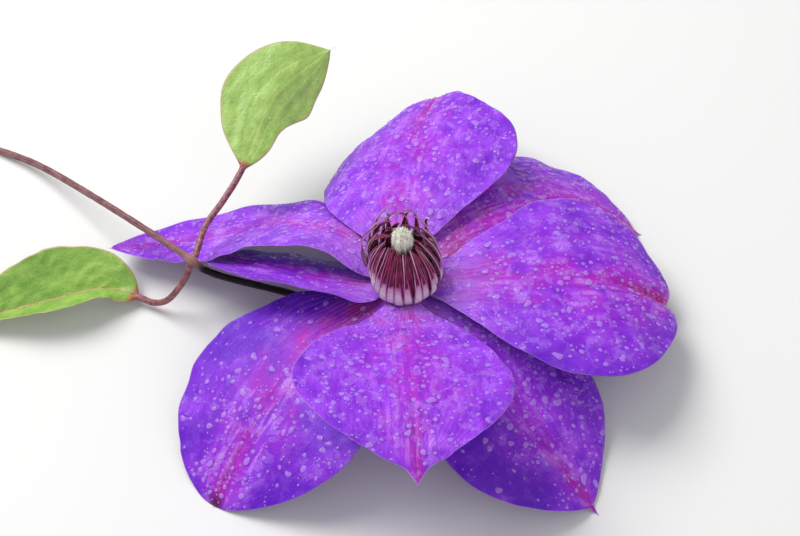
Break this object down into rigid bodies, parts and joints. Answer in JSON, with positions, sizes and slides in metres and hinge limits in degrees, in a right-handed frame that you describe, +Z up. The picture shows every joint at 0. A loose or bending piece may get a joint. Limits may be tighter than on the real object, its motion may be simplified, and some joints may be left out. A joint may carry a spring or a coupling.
{
  "type": "clematis flower",
  "caption": "Open violet clematis bloom with overlapping sepals, a boss of dark stamens round a cream tuft, its stalk, leaves and a piece of vine, lying face up as picked.",
  "frame": {"origin": "under the middle of the whole flower's box, on the surface that it lies on", "axes": "+Z up from the surface, out of the open face of the bloom; +X along the longest way, from the vine and leaves across the bloom; +Y towards the upright sepal at the back"},
  "size_m": [0.2014, 0.1446, 0.0454],
  "materials": {
    "sepal": "satin",
    "stamen": "satin",
    "receptacle": "matte",
    "pistils": "matte",
    "stem": "matte",
    "leaf": "satin"
  },
  "bodies": {
    "root": {"sepal_back": "sepal", "sepal_back_right": "sepal", "sepal_right": "sepal", "sepal_front_right": "sepal", "sepal_front": "sepal", "sepal_front_left": "sepal", "sepal_left": "sepal", "sepal_back_left": "sepal", "stamen_outer_01": "stamen", "stamen_outer_02": "stamen", "stamen_outer_03": "stamen", "stamen_outer_04": "stamen", "stamen_outer_05": "stamen", "stamen_outer_06": "stamen", "stamen_outer_07": "stamen", "stamen_outer_08": "stamen", "stamen_outer_09": "stamen", "stamen_outer_10": "stamen", "stamen_outer_11": "stamen", "stamen_outer_12": "stamen", "stamen_outer_13": "stamen", "stamen_outer_14": "stamen", "stamen_outer_15": "stamen", "stamen_outer_16": "stamen", "stamen_outer_17": "stamen", "stamen_outer_18": "stamen", "stamen_outer_19": "stamen", "stamen_outer_20": "stamen", "stamen_outer_21": "stamen", "stamen_outer_22": "stamen", "stamen_outer_23": "stamen", "stamen_outer_24": "stamen", "stamen_outer_25": "stamen", "stamen_outer_26": "stamen", "stamen_outer_27": "stamen", "stamen_middle_01": "stamen", "stamen_middle_02": "stamen", "stamen_middle_03": "stamen", "stamen_middle_04": "stamen", "stamen_middle_05": "stamen", "stamen_middle_06": "stamen", "stamen_middle_07": "stamen", "stamen_middle_08": "stamen", "stamen_middle_09": "stamen", "stamen_middle_10": "stamen", "stamen_middle_11": "stamen", "stamen_middle_12": "stamen", "stamen_inner_01": "stamen", "stamen_inner_02": "stamen", "stamen_inner_03": "stamen", "stamen_inner_04": "stamen", "stamen_inner_05": "stamen", "stamen_inner_06": "stamen", "stamen_inner_07": "stamen", "stamen_inner_08": "stamen", "receptacle": "receptacle", "pistils": "pistils", "stem": "stem", "leaf_back": "leaf", "leaf_left": "leaf"}
  },
  "joints": []
}
